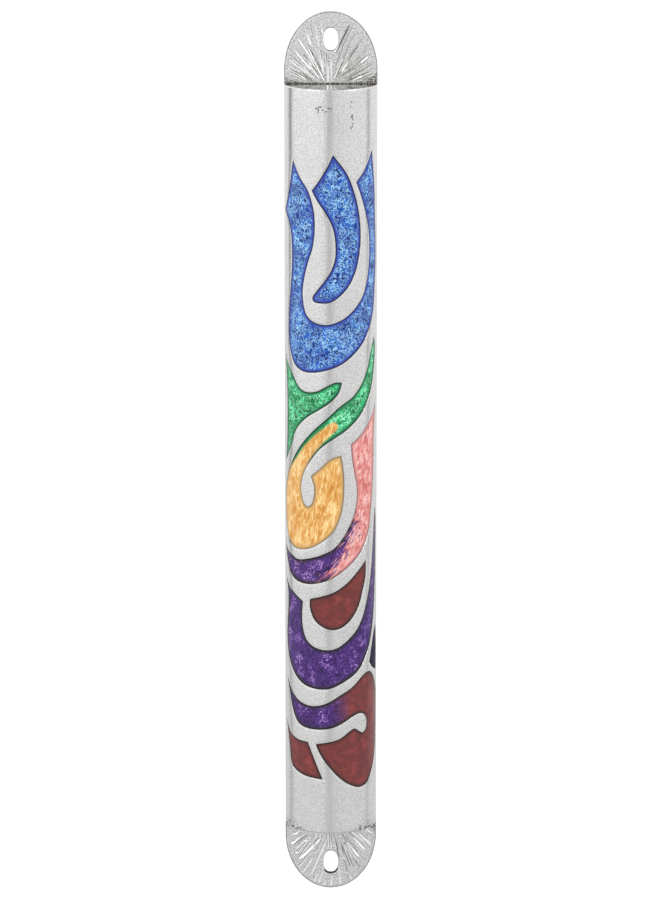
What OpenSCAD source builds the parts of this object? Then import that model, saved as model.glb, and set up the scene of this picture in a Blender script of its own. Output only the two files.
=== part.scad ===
// Mezuzah case: a half-round enamelled body on a flat back plate with a rounded nail tab at each end.
// Frame: +Z up along the case, -Y out of the wall towards the room, +X to the right.
// The origin is on the wall face, midway between the two nail slots.

/* [Case] */
// Width of the case and of its back plate
case_w = 20; // [19:0.5:22]
// Length of the half-round body
body_len = 164; // [160:1:180]
// Length of each nail tab beyond the body
tab_len = 15.5; // [15:0.5:20]
// Length of the elliptical rounding at the end of a tab
tab_round = 12.5; // [10:0.5:13]
// Thickness of the back plate
plate_t = 2; // [2:0.1:3]
// Wall thickness of the half-round shell
shell_wall = 1.4; // [1.3:0.1:1.8]
// Thickness of the end caps
cap_t = 1; // [0.8:0.1:1.5]

/* [Enamel] */
// Depth of the sunk cells below the outside of the shell
cell_depth = 0.7; // [0.4:0.1:0.9]
// How far the enamel's face lies below the outside of the shell
enamel_sink = 0.15; // [0.05:0.05:0.25]
// Height of the plain silver band along each long edge of the body
edge_band = 1.2; // [0.8:0.2:2]

/* [Nail slots] */
// Width of a nail slot
slot_w = 3.2; // [2.8:0.2:4]
// End-to-end length of a nail slot
slot_len = 5; // [4.4:0.2:6]
// Distance from the tip of a tab to the centre of its slot
slot_inset = 6; // [5.5:0.25:8]

/* [Back panel] */
// Thickness of the sliding back panel
panel_t = 1; // [0.8:0.1:1.2]
// Width of the panel at its outer (wall) face
panel_w = 14.4; // [14:0.2:15]
// How much the dovetail widens on each side towards the inside
dovetail = 0.6; // [0.4:0.1:0.8]
// Running clearance of the panel in its channel
panel_gap = 0.12; // [0.1:0.02:0.2]
// Width of the window that the scroll passes through
window_w = 11; // [10:0.5:12]
// Distance from the window's ends to the ends of the body
window_margin = 3; // [2.5:0.5:6]

/* [Scroll] */
// Outer diameter of the rolled parchment
scroll_d = 8; // [6:0.5:8]
// Diameter of the empty core of the roll
scroll_core_d = 2; // [1.5:0.5:3]
// Length of the rolled parchment
scroll_len = 150; // [120:1:152]

/* [Hidden] */

$fn = 96;

// The cell outlines are drawn on a body of this radius
outline_r = 10;
outer_r = case_w / 2;
inner_r = outer_r - shell_wall;
floor_r = outer_r - cell_depth;
enamel_r = outer_r - enamel_sink;
body_half = body_len / 2;
tube_half = body_half - cap_t;
tip_z = body_half + tab_len;
slot_z = tip_z - slot_inset;
round_z = tip_z - tab_round;
// Distance from the top of the panel to the top of the body
panel_inset = 1.5;
panel_top_z = body_half - panel_inset;
// Clearance of the roll below its lower end, and in front of it
scroll_end_gap = 0.1;
scroll_front_gap = 0.4;
scroll_y = -plate_t - inner_r + scroll_front_gap + scroll_d / 2;
// Fingernail grooves across the lower end of the panel
grip_count = 3;
grip_pitch = 2.4;
grip_w = 9;
grip_h = 1;
grip_depth = 0.4;
// Height of the first groove above the lower end of the body
grip_inset = 4;
grip_z = -body_half + grip_inset;
// Extra size of the panel's own slot around the nail
panel_slot_ease = 0.3;
// Amount by which a cutter passes the surface it cuts
over = 1;
// Steps that each span of a cell outline is drawn with
span_steps = 2;

// Cell outlines as [arc length from the centre line, height]. Each cell is a ring of smooth runs,
// and there is a sharp corner where one run ends and the next begins.
blue_ring = [
  [[-9.5, 66.5], [-11, 60.5], [-12.5, 57]],
  [[-13.75, 55.25], [-11.75, 53.5], [-10.5, 51], [-10, 48], [-10, 43.5], [-10.5, 39], [-11.25, 34],
   [-11.5, 29], [-11, 25.5], [-9.5, 22.75], [-7.5, 21.25], [-5, 20.75], [-1.5, 21.25], [2, 22.5],
   [5, 24.5], [8, 27.25], [10, 30], [11.5, 33], [12.25, 36.5], [12.75, 40], [13.25, 44],
   [13.25, 48], [12.75, 53], [12.25, 60], [11.5, 65]],
  [[10.8, 68.6], [8.25, 64.75]],
  [[5.75, 62], [7, 59], [8.5, 55], [9.5, 51], [9.75, 47], [9.25, 42], [8, 38], [5.75, 35],
   [3, 32.75], [0, 31.5], [-2.5, 31.5], [-4.75, 32.5], [-6, 34.5], [-6.5, 38], [-6, 41.5],
   [-5, 45], [-4, 48], [-3.5, 52], [-3.75, 56], [-5, 60], [-7.25, 63]]
];
blue_flame = [
  [[0.45, 68.1], [-0.75, 65.5], [-2.75, 62.25]],
  [[-4.25, 60.25], [-2.75, 57.75], [-1, 55.25], [0.5, 52], [1, 48.5], [0.75, 45], [-0.75, 41.75],
   [-3.25, 38.5], [-4.1, 37.1], [-3.6, 36.25], [-2, 36], [0, 36.25], [2.25, 37.75], [4.25, 40],
   [5.75, 43], [6.75, 47], [7, 51], [6.5, 55.5], [5.25, 60], [3.5, 64]]
];
green_leaf = [
  [[-14.2, 25.75], [-12.5, 22.75], [-10.75, 21], [-9, 19], [-7.5, 17.25], [-5.5, 16.5],
   [-3.25, 16.75], [-1.25, 17.75], [0.75, 18.75]],
  [[2.5, 18.75], [1.75, 16.5], [0, 14.5], [-2.5, 12.75], [-5.25, 11], [-7.5, 9], [-9.25, 6.5],
   [-10.75, 3.25]],
  [[-13.4, -0.25], [-12.5, 5], [-12.25, 12], [-12.75, 19]]
];
green_orange_swirl = [
  [[12, 28], [12.75, 25.5], [12.5, 22.5], [11.5, 18.5], [9.75, 14.75], [7, 11.25], [3.5, 8.25],
   [0, 6], [-2.5, 4], [-4.5, 1.5], [-6.25, -1.5], [-7, -4.5], [-6.75, -6.5], [-6.25, -8],
   [-5.25, -8.75], [-4.25, -8], [-3.75, -6], [-3.75, -4.25]],
  [[-4.5, -2], [-2.5, -0.25], [0, 2]],
  [[2.25, 2.75], [2.75, 0], [3, -4], [2.75, -8], [2, -11.25], [0.5, -14.25], [-2, -16.5],
   [-4.75, -18], [-7.5, -18.5], [-10, -18], [-12, -16.25], [-13.25, -13], [-13.75, -9.5],
   [-13.25, -5.5], [-11.75, -2], [-9.25, 1.75], [-6.75, 5], [-4, 8], [-1, 10.75], [2, 13.5],
   [5, 15.5], [7.25, 18], [9, 21], [10.25, 24.5]]
];
pink_purple_crescent = [
  [[13.25, 13.75], [11.25, 11], [9.5, 9.25], [7.5, 7.25]],
  [[4.5, 5], [4.75, 2], [5.25, -1], [6, -5], [5.75, -8.5], [4.75, -11.75], [3, -15],
   [0.75, -17.75], [-2, -19.25], [-5, -20.25], [-8, -20.75], [-11, -19.75], [-12.5, -19]],
  [[-14.25, -17.25], [-12.75, -21.25], [-11.25, -23.75], [-8.75, -25.5], [-5.5, -26], [-2.25, -25.5],
   [0.75, -24.25], [4, -22], [6.75, -19.5], [8.75, -17], [10, -14], [10.75, -10], [11.5, -5],
   [11.9, 0], [12.1, 6], [12.6, 10.5]]
];
purple_bowl = [
  [[-14.25, -24.5], [-12.5, -26], [-11, -27.5], [-8.75, -28.75]],
  [[-6.5, -30], [-6.75, -33], [-6.5, -36], [-5.5, -38.5], [-3.5, -40], [-1, -40.5], [1.5, -40],
   [4, -38.25], [6.25, -36], [8, -33], [9.25, -29.5], [10.25, -26], [11, -22], [11.5, -18]],
  [[12.75, -9.25], [13.75, -13.5], [13.75, -19], [13.25, -26], [12.5, -32], [11.25, -37.5],
   [9.25, -42], [6.5, -45.5], [3, -47.75], [-0.5, -49.25], [-4, -49.25], [-7, -48.25],
   [-10, -45.75], [-12, -42.5], [-12.75, -39], [-12.5, -35.5], [-12, -32], [-12, -29],
   [-12.75, -27]]
];
maroon_crescent = [
  [[8.75, -21], [6.25, -23.25], [3.5, -25.75], [0.75, -27.5], [-2, -28.5]],
  [[-4.75, -29.25], [-4.75, -31.25], [-3.75, -33.75], [-2, -35.25], [0.25, -36], [2.5, -35.5],
   [4.75, -33.75], [6.5, -31.25], [7.75, -28], [8.75, -24.25]]
];
purple_sliver = [
  [[13.5, -36], [12, -38.25], [11, -41]],
  [[10, -44.25], [11.5, -45.75]],
  [[14.25, -47], [14.25, -41]]
];
purple_maroon_hook = [
  [[-13.25, -46.5], [-11.25, -49.25], [-9.5, -51.25], [-7, -52.75], [-4, -53.25], [-1, -52.5],
   [2, -50.75], [5, -49], [7.5, -47], [9.5, -46.25], [11.25, -47], [13, -49.25], [14.25, -52],
   [14.5, -56], [14.25, -61], [13.25, -65.5], [11.5, -68.75], [9.5, -71.25], [7, -72],
   [4.5, -71.25], [2, -69.5], [-0.5, -66.75], [-2.25, -64.25]],
  [[-3.5, -61.75], [-0.5, -61.25], [2, -60.5], [4.25, -59], [5.5, -58.5], [6.75, -59.25],
   [7.75, -59.75], [8.75, -59], [9, -57.5], [8.5, -56], [7, -55.25], [5, -55.75], [2.25, -57.25],
   [-0.5, -58.25], [-4, -58.5], [-7, -58], [-9, -56.5], [-10.25, -54.25], [-11.25, -51.5]]
];
maroon_leaf = [
  [[-13.75, -56.5], [-11, -60], [-8.25, -61.25]],
  [[-5.25, -61.5], [-3.75, -65]],
  [[-1.75, -69.75], [-6, -69.25], [-9, -68.25], [-10.75, -66.75], [-11.5, -63]]
];
ALL_CELLS = [
  blue_ring, blue_flame, green_leaf, green_orange_swirl, pink_purple_crescent, purple_bowl,
  maroon_crescent, purple_sliver, purple_maroon_hook, maroon_leaf
];

// Point at t (0 to 1) on the smooth span from b to c, with neighbours a and d
function span_point(a, b, c, d, t) =
  0.5 * (2 * b + (c - a) * t + (2 * a - 5 * b + 4 * c - d) * t * t + (3 * b - a - 3 * c + d) * t * t * t);

// Points of one run, from its first point up to but not including the corner that ends it
function run_points(run, corner) =
  let (
    p = concat(run, [corner]),
    last = len(p) - 1
  )
  [
    for (i = [0:last - 1])
      let (
        before = i > 0 ? p[i - 1] : 2 * p[0] - p[1],
        after = i + 2 <= last ? p[i + 2] : 2 * p[last] - p[last - 1]
      )
      for (k = [0:span_steps - 1])
        span_point(before, p[i], p[i + 1], after, k / span_steps)
  ];

// Whole outline of a cell, still on the unrolled surface
function cell_points(cell) = [
  for (i = [0:len(cell) - 1])
    each run_points(cell[i], cell[(i + 1) % len(cell)][0])
];

// A point of the unrolled surface as seen square from the front
function front_view(point) = [outer_r * sin(point[0] / outline_r * 180 / PI), point[1]];

// Half-round bar on the front of the plate
module half_round(r, half_len) {
  intersection() {
    translate([0, -plate_t, -half_len])
      cylinder(r = r, h = 2 * half_len);
    translate([-r - over, -plate_t - r - over, -half_len - over])
      cube([2 * (r + over), r + over, 2 * (half_len + over)]);
  }
}

// Straight prism through the front of the body with the outline of a cell
module cell_prism(cell) {
  translate([0, -plate_t - edge_band, 0])
    rotate([90, 0, 0])
      linear_extrude(height = outer_r + over)
        polygon([for (point = cell_points(cell)) front_view(point)]);
}

// Front outline of the plate: straight sides and an elliptical tab at each end
module plate_outline() {
  steps = 24;
  polygon([
    for (end = [0, 1])
      for (i = [0:steps])
        let (a = end * 180 + i * 180 / steps)
        [outer_r * cos(a), tab_round * sin(a) + (end == 0 ? round_z : -round_z)]
  ]);
}

// Plate-shaped slab from depth y0 (nearer the room) to y1
module plate_slab(y0, y1) {
  translate([0, y1, 0])
    rotate([90, 0, 0])
      linear_extrude(height = y1 - y0)
        plate_outline();
}

// Upright slot with round ends through the plate at height z
module slot_cutter(z, width, length) {
  for (end = [-1, 1])
    translate([0, over, z + end * (length - width) / 2])
      rotate([90, 0, 0])
        cylinder(d = width, h = plate_t + 2 * over);
  translate([-width / 2, -plate_t - over, z - (length - width) / 2])
    cube([width, plate_t + 2 * over, length - width]);
}

// Dovetail bar that lies in the back of the plate, grown by gap on its sides and its inner face.
// It stands out of the back of the plate by proud, with its sides carried on at the same slope.
module dovetail_bar(gap, z0, z1, proud) {
  back = panel_w / 2 + gap;
  inner = back + dovetail;
  slope = dovetail / panel_t;
  translate([0, 0, z0])
    linear_extrude(height = z1 - z0)
      polygon([
        [-back + slope * proud, proud],
        [back - slope * proud, proud],
        [inner + slope * gap, -panel_t - gap],
        [-inner - slope * gap, -panel_t - gap]
      ]);
}

module enamel(cell) {
  intersection() {
    difference() {
      half_round(enamel_r, tube_half);
      half_round(floor_r, tube_half + over);
    }
    cell_prism(cell);
  }
}

module back_plate() {
  color("#c9cacb")
    difference() {
      plate_slab(-plate_t, 0);
      dovetail_bar(panel_gap, -tip_z - over, panel_top_z + panel_gap, over / 2);
      translate([-window_w / 2, -plate_t - over, -body_half + window_margin])
        cube([window_w, plate_t + over, 2 * (body_half - window_margin)]);
      for (side = [-1, 1])
        slot_cutter(side * slot_z, slot_w, slot_len);
    }
}

module half_round_shell() {
  color("#d7d8d9")
    difference() {
      half_round(outer_r, tube_half);
      translate([0, -plate_t, -tube_half - over])
        cylinder(r = inner_r, h = 2 * (tube_half + over));
      intersection() {
        difference() {
          half_round(outer_r + over, tube_half - over);
          half_round(floor_r, tube_half);
        }
        union()
          for (cell = ALL_CELLS)
            cell_prism(cell);
      }
    }
}

module end_cap(side) {
  color("#bcbdbe")
    translate([0, 0, side * (body_half - cap_t / 2)])
      half_round(outer_r, cap_t / 2);
}

module top_end_cap() {
  end_cap(1);
}

module bottom_end_cap() {
  end_cap(-1);
}

module sliding_back_panel() {
  color("#a9abad")
    difference() {
      intersection() {
        dovetail_bar(0, -tip_z, panel_top_z, 0);
        plate_slab(-plate_t, over);
      }
      slot_cutter(-slot_z, slot_w + 2 * panel_slot_ease, slot_len + 2 * panel_slot_ease);
      for (i = [0:grip_count - 1])
        translate([-grip_w / 2, -grip_depth, grip_z + i * grip_pitch])
          cube([grip_w, grip_depth + over, grip_h]);
    }
}

module parchment_scroll() {
  color("#e6d8b4")
    translate([0, scroll_y, -tube_half + scroll_end_gap])
      difference() {
        cylinder(d = scroll_d, h = scroll_len);
        translate([0, 0, -over])
          cylinder(d = scroll_core_d, h = scroll_len + 2 * over);
      }
}

module blue_ring_enamel() {
  color("#3a72cf")
    enamel(blue_ring);
}

module blue_flame_enamel() {
  color("#3f78d6")
    enamel(blue_flame);
}

module green_leaf_enamel() {
  color("#1fa161")
    enamel(green_leaf);
}

module green_orange_swirl_enamel() {
  color("#e8a951")
    enamel(green_orange_swirl);
}

module pink_purple_crescent_enamel() {
  color("#e08a85")
    enamel(pink_purple_crescent);
}

module purple_bowl_enamel() {
  color("#54318a")
    enamel(purple_bowl);
}

module maroon_crescent_enamel() {
  color("#783a34")
    enamel(maroon_crescent);
}

module purple_sliver_enamel() {
  color("#4a3070")
    enamel(purple_sliver);
}

module purple_maroon_hook_enamel() {
  color("#74383a")
    enamel(purple_maroon_hook);
}

module maroon_leaf_enamel() {
  color("#7d3c38")
    enamel(maroon_leaf);
}

back_plate();
half_round_shell();
top_end_cap();
bottom_end_cap();
sliding_back_panel();
parchment_scroll();
blue_ring_enamel();
blue_flame_enamel();
green_leaf_enamel();
green_orange_swirl_enamel();
pink_purple_crescent_enamel();
purple_bowl_enamel();
maroon_crescent_enamel();
purple_sliver_enamel();
purple_maroon_hook_enamel();
maroon_leaf_enamel();
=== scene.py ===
"""Looks of the mezuzah case: champleve enamel body, engraved nail tabs, back panel and parchment roll.

Lengths in this script are millimetres in the CAD frame (+Z up, -Y towards the viewer); make_object()
turns them into metres.
"""

import math

import bmesh
import bpy
import numpy as np
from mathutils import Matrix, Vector
from mathutils.geometry import delaunay_2d_cdt


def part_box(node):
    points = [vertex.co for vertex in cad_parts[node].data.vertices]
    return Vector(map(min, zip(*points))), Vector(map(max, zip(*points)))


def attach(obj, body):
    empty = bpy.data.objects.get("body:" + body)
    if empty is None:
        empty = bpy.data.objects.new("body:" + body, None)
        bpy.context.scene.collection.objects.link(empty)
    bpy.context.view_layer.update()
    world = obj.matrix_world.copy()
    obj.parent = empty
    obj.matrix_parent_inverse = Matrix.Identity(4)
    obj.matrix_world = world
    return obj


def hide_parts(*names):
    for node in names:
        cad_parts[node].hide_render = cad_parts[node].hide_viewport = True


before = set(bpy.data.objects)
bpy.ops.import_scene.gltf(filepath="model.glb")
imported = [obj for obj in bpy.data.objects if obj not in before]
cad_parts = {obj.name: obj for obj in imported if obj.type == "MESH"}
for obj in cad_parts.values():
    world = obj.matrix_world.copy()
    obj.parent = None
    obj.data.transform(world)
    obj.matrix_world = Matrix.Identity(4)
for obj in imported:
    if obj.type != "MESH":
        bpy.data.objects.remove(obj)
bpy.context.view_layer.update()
MM = 0.001


def box_mm(node):
    """Lowest and highest corner of a CAD node, in millimetres."""
    low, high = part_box(node)
    return [c / MM for c in low], [c / MM for c in high]


# ---- Sizes, from the frame ----
PLATE_LOW, PLATE_HIGH = box_mm("back_plate")
SHELL_LOW, SHELL_HIGH = box_mm("half_round_shell")
CAP_HIGH = box_mm("top_end_cap")[1]
PANEL_HIGH = box_mm("sliding_back_panel")[1]
SCROLL_LOW, SCROLL_HIGH = box_mm("parchment_scroll")

PLATE_T = -PLATE_LOW[1]
HALF_W = PLATE_HIGH[0]
TIP_Z = PLATE_HIGH[2]
RADIUS = -PLATE_T - SHELL_LOW[1]
TUBE_HALF = SHELL_HIGH[2]
BODY_HALF = CAP_HIGH[2]

# Sizes that the CAD model shares
SHELL_WALL = 1.4
CELL_DEPTH = 0.7
ENAMEL_SINK = 0.15
TAB_ROUND = 12.5
ROUND_Z = TIP_Z - TAB_ROUND
SLOT_HALF_W = 1.6
SLOT_HALF_LEN = 2.5
SLOT_Z = TIP_Z - 6
PANEL_T = 1.0
PANEL_HALF_W = 7.2
DOVETAIL = 0.6
PANEL_GAP = 0.12
PANEL_TRAVEL = 180
WINDOW_HALF_W = 5.5
WINDOW_HALF_LEN = BODY_HALF - 3

# ---- Cell outlines, as in the CAD model: [arc length from the centre line, height] ----
# Each cell is a ring of smooth runs, with a sharp corner where one run ends and the next begins.
CELLS = {
    "blue_ring": [
        [[-9.5, 66.5], [-11, 60.5], [-12.5, 57]],
        [[-13.75, 55.25], [-11.75, 53.5], [-10.5, 51], [-10, 48], [-10, 43.5], [-10.5, 39], [-11.25, 34],
         [-11.5, 29], [-11, 25.5], [-9.5, 22.75], [-7.5, 21.25], [-5, 20.75], [-1.5, 21.25], [2, 22.5],
         [5, 24.5], [8, 27.25], [10, 30], [11.5, 33], [12.25, 36.5], [12.75, 40], [13.25, 44],
         [13.25, 48], [12.75, 53], [12.25, 60], [11.5, 65]],
        [[10.8, 68.6], [8.25, 64.75]],
        [[5.75, 62], [7, 59], [8.5, 55], [9.5, 51], [9.75, 47], [9.25, 42], [8, 38], [5.75, 35],
         [3, 32.75], [0, 31.5], [-2.5, 31.5], [-4.75, 32.5], [-6, 34.5], [-6.5, 38], [-6, 41.5],
         [-5, 45], [-4, 48], [-3.5, 52], [-3.75, 56], [-5, 60], [-7.25, 63]],
    ],
    "blue_flame": [
        [[0.45, 68.1], [-0.75, 65.5], [-2.75, 62.25]],
        [[-4.25, 60.25], [-2.75, 57.75], [-1, 55.25], [0.5, 52], [1, 48.5], [0.75, 45], [-0.75, 41.75],
         [-3.25, 38.5], [-4.1, 37.1], [-3.6, 36.25], [-2, 36], [0, 36.25], [2.25, 37.75], [4.25, 40],
         [5.75, 43], [6.75, 47], [7, 51], [6.5, 55.5], [5.25, 60], [3.5, 64]],
    ],
    "green_leaf": [
        [[-14.2, 25.75], [-12.5, 22.75], [-10.75, 21], [-9, 19], [-7.5, 17.25], [-5.5, 16.5],
         [-3.25, 16.75], [-1.25, 17.75], [0.75, 18.75]],
        [[2.5, 18.75], [1.75, 16.5], [0, 14.5], [-2.5, 12.75], [-5.25, 11], [-7.5, 9], [-9.25, 6.5],
         [-10.75, 3.25]],
        [[-13.4, -0.25], [-12.5, 5], [-12.25, 12], [-12.75, 19]],
    ],
    "green_orange_swirl": [
        [[12, 28], [12.75, 25.5], [12.5, 22.5], [11.5, 18.5], [9.75, 14.75], [7, 11.25], [3.5, 8.25],
         [0, 6], [-2.5, 4], [-4.5, 1.5], [-6.25, -1.5], [-7, -4.5], [-6.75, -6.5], [-6.25, -8],
         [-5.25, -8.75], [-4.25, -8], [-3.75, -6], [-3.75, -4.25]],
        [[-4.5, -2], [-2.5, -0.25], [0, 2]],
        [[2.25, 2.75], [2.75, 0], [3, -4], [2.75, -8], [2, -11.25], [0.5, -14.25], [-2, -16.5],
         [-4.75, -18], [-7.5, -18.5], [-10, -18], [-12, -16.25], [-13.25, -13], [-13.75, -9.5],
         [-13.25, -5.5], [-11.75, -2], [-9.25, 1.75], [-6.75, 5], [-4, 8], [-1, 10.75], [2, 13.5],
         [5, 15.5], [7.25, 18], [9, 21], [10.25, 24.5]],
    ],
    "pink_purple_crescent": [
        [[13.25, 13.75], [11.25, 11], [9.5, 9.25], [7.5, 7.25]],
        [[4.5, 5], [4.75, 2], [5.25, -1], [6, -5], [5.75, -8.5], [4.75, -11.75], [3, -15],
         [0.75, -17.75], [-2, -19.25], [-5, -20.25], [-8, -20.75], [-11, -19.75], [-12.5, -19]],
        [[-14.25, -17.25], [-12.75, -21.25], [-11.25, -23.75], [-8.75, -25.5], [-5.5, -26], [-2.25, -25.5],
         [0.75, -24.25], [4, -22], [6.75, -19.5], [8.75, -17], [10, -14], [10.75, -10], [11.5, -5],
         [11.9, 0], [12.1, 6], [12.6, 10.5]],
    ],
    "purple_bowl": [
        [[-14.25, -24.5], [-12.5, -26], [-11, -27.5], [-8.75, -28.75]],
        [[-6.5, -30], [-6.75, -33], [-6.5, -36], [-5.5, -38.5], [-3.5, -40], [-1, -40.5], [1.5, -40],
         [4, -38.25], [6.25, -36], [8, -33], [9.25, -29.5], [10.25, -26], [11, -22], [11.5, -18]],
        [[12.75, -9.25], [13.75, -13.5], [13.75, -19], [13.25, -26], [12.5, -32], [11.25, -37.5],
         [9.25, -42], [6.5, -45.5], [3, -47.75], [-0.5, -49.25], [-4, -49.25], [-7, -48.25],
         [-10, -45.75], [-12, -42.5], [-12.75, -39], [-12.5, -35.5], [-12, -32], [-12, -29],
         [-12.75, -27]],
    ],
    "maroon_crescent": [
        [[8.75, -21], [6.25, -23.25], [3.5, -25.75], [0.75, -27.5], [-2, -28.5]],
        [[-4.75, -29.25], [-4.75, -31.25], [-3.75, -33.75], [-2, -35.25], [0.25, -36], [2.5, -35.5],
         [4.75, -33.75], [6.5, -31.25], [7.75, -28], [8.75, -24.25]],
    ],
    "purple_sliver": [
        [[13.5, -36], [12, -38.25], [11, -41]],
        [[10, -44.25], [11.5, -45.75]],
        [[14.25, -47], [14.25, -41]],
    ],
    "purple_maroon_hook": [
        [[-13.25, -46.5], [-11.25, -49.25], [-9.5, -51.25], [-7, -52.75], [-4, -53.25], [-1, -52.5],
         [2, -50.75], [5, -49], [7.5, -47], [9.5, -46.25], [11.25, -47], [13, -49.25], [14.25, -52],
         [14.5, -56], [14.25, -61], [13.25, -65.5], [11.5, -68.75], [9.5, -71.25], [7, -72],
         [4.5, -71.25], [2, -69.5], [-0.5, -66.75], [-2.25, -64.25]],
        [[-3.5, -61.75], [-0.5, -61.25], [2, -60.5], [4.25, -59], [5.5, -58.5], [6.75, -59.25],
         [7.75, -59.75], [8.75, -59], [9, -57.5], [8.5, -56], [7, -55.25], [5, -55.75], [2.25, -57.25],
         [-0.5, -58.25], [-4, -58.5], [-7, -58], [-9, -56.5], [-10.25, -54.25], [-11.25, -51.5]],
    ],
    "maroon_leaf": [
        [[-13.75, -56.5], [-11, -60], [-8.25, -61.25]],
        [[-5.25, -61.5], [-3.75, -65]],
        [[-1.75, -69.75], [-6, -69.25], [-9, -68.25], [-10.75, -66.75], [-11.5, -63]],
    ],
}

# Places of the materials on the back plate and on an end cap
# The fifth material is painted shade on the walls of the nail holes.
# The sixth material is painted shade on the plate's front bevel.
PLAIN, GROUND, BRIGHT_CUT, SHADED_CUT, HOLE_SHADE, BEVEL_SHADE = range(6)
CAP_RIM, CAP_FACE, CAP_SOLDER = range(3)

# Engraved rays on the tabs: [x, z] near the body, [x, z] near the rim, width, look of its two sides
BRIGHT = (BRIGHT_CUT, BRIGHT_CUT)
SPLIT = (BRIGHT_CUT, SHADED_CUT)
DARK = (SHADED_CUT, SHADED_CUT)
TOP_RAYS = [
    [[-0.6, 82.1], [-0.65, 87.5], 0.4, BRIGHT], [[0.08, 82.1], [0.1, 87.6], 0.34, BRIGHT],
    [[-1.5, 84.8], [-3.4, 95.2], 0.34, BRIGHT], [[-1.6, 92.6], [-2.2, 95.6], 0.26, BRIGHT],
    [[-3.9, 92.4], [-4.5, 94.8], 0.26, SPLIT], [[-4.2, 90.4], [-5.3, 93.6], 0.26, BRIGHT],
    [[-1.8, 84.6], [-4.5, 89.6], 0.24, DARK], [[-3, 86], [-7.1, 92], 0.32, BRIGHT],
    [[-1.3, 82.6], [-3.1, 86.2], 0.26, SPLIT], [[-2.2, 83.6], [-6, 88.6], 0.22, DARK],
    [[-5, 82.6], [-9.2, 86.4], 0.32, BRIGHT], [[-3.4, 83.4], [-8.6, 88], 0.26, SPLIT],
    [[-3.6, 82.4], [-8.8, 85.4], 0.2, DARK], [[1, 88.4], [4.2, 95], 0.36, DARK],
    [[1.9, 89], [4.7, 94.6], 0.26, SPLIT], [[0.7, 83.6], [5.2, 93.4], 0.22, SPLIT],
    [[0.9, 83], [2.8, 87], 0.24, DARK], [[1.8, 85], [7.2, 92.2], 0.28, SPLIT],
    [[1.1, 83], [6.4, 91], 0.2, DARK], [[2.4, 84.4], [8.3, 89.6], 0.28, SPLIT],
    [[1.9, 83.2], [8, 88.4], 0.22, DARK], [[3, 83.8], [8.8, 88], 0.24, SPLIT],
    [[3.4, 83], [9.2, 86.4], 0.24, SPLIT], [[3.2, 82.4], [8.6, 84.8], 0.2, DARK],
]
BOTTOM_RAYS = [
    [[-1.4, -85.1], [-7.1, -90.9], 0.66, BRIGHT], [[-7.8, -86.4], [-9, -87.1], 0.3, BRIGHT],
    [[-4.3, -85.8], [-7.4, -87.6], 0.2, SPLIT], [[-7, -88.9], [-7.9, -89.6], 0.26, BRIGHT],
    [[-4.9, -89.8], [-7.2, -92.7], 0.3, SPLIT], [[-4, -90.4], [-6.3, -94], 0.34, BRIGHT],
    [[-2.7, -88.2], [-3.5, -89.5], 0.26, SPLIT], [[-0.9, -86.2], [-4.7, -95], 0.42, BRIGHT],
    [[-2.9, -94], [-3.8, -96.1], 0.3, BRIGHT], [[-1.7, -93.3], [-2.8, -96.5], 0.36, BRIGHT],
    [[-1.2, -95.4], [-1.5, -97], 0.26, BRIGHT], [[0.3, -85.2], [0.1, -88.3], 0.3, BRIGHT],
    [[0.2, -94.5], [0.05, -97.1], 0.34, BRIGHT], [[1.9, -92.4], [2.1, -96.8], 0.36, BRIGHT],
    [[2.2, -86.4], [4.2, -96], 0.28, SPLIT], [[2.9, -86.6], [4.9, -92.2], 0.28, DARK],
    [[3.3, -86.4], [6.4, -90.4], 0.34, BRIGHT], [[4.2, -84.8], [7.9, -88.9], 0.42, BRIGHT],
    [[6, -84.6], [9.1, -87.6], 0.36, BRIGHT], [[7.7, -83.8], [9.3, -84.9], 0.32, BRIGHT],
    [[5, -90.4], [6.6, -93], 0.28, SPLIT], [[3.4, -93.6], [4.8, -95.6], 0.26, BRIGHT],
    [[1.2, -86.4], [1.8, -91], 0.22, DARK], [[3.5, -88.4], [5.2, -93.2], 0.26, SPLIT],
    [[-6.4, -84.6], [-8.6, -85.6], 0.2, DARK], [[-5.2, -85.2], [-8.2, -87.6], 0.18, DARK],
]

# Fine cuts between the drawn rays: how many, where they fan out from and over how many degrees
FINE_RAYS = 40
FAN_HUB = (-0.4, 80.5)
FAN_DEGREES = 156
FINE_SAMPLES = 12
FINE_MARGIN = 0.7

# Grain and edges of the modelled surfaces
GRID_STEP = 0.25
OUTLINE_STEP = 0.15
BODY_RIPPLE = 0.02
RIPPLE_REACH = 1.5
EDGE_DROP = 0.04
EDGE_FADE = 0.2
GLASS_LIP = 0.05
GLASS_HOLLOW = 0.06
GLASS_FADE = 0.9
GLASS_RIPPLE = 0.015
STIPPLE_STEP = 0.3
STIPPLE_MARGIN = 0.4
STIPPLE_DEPTH = 0.022
STIPPLE_FADE = 0.6
RAY_SLOPE = 0.55
RAY_TAPER = 0.16
RAY_WIDEN = 1.15
PLATE_BEVEL = 0.22
SLOT_SQUARENESS = 2.4
RIM_ROUND = 0.3
FOOT_POINTS = 20
RIM_STEPS = 6
CAP_STEPS = 96
BEAD_STEPS = 150
BEAD_TURNS = 5
TINY = 1e-6

# Patches of small dents near the top of the body: middle x and z, half width, half height
DENTS = ((-1.6, 77.8, 1.9, 0.8), (4.4, 76.3, 0.4, 3.3))

# Sections through the plate's rim and a nail hole: [inset or growth of the outline, y]
PLATE_PROFILE = [(PLATE_BEVEL, -PLATE_T), (0.3 * PLATE_BEVEL, -PLATE_T + 0.3 * PLATE_BEVEL),
                 (0, -PLATE_T + PLATE_BEVEL), (0, -PLATE_BEVEL), (PLATE_BEVEL, 0)]
HOLE_PROFILE = [(PLATE_BEVEL, -PLATE_T), (0.25 * PLATE_BEVEL, -PLATE_T + 0.35 * PLATE_BEVEL),
                (0, -PLATE_T + PLATE_BEVEL), (0, 0)]

RNG = np.random.default_rng(7)


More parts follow.
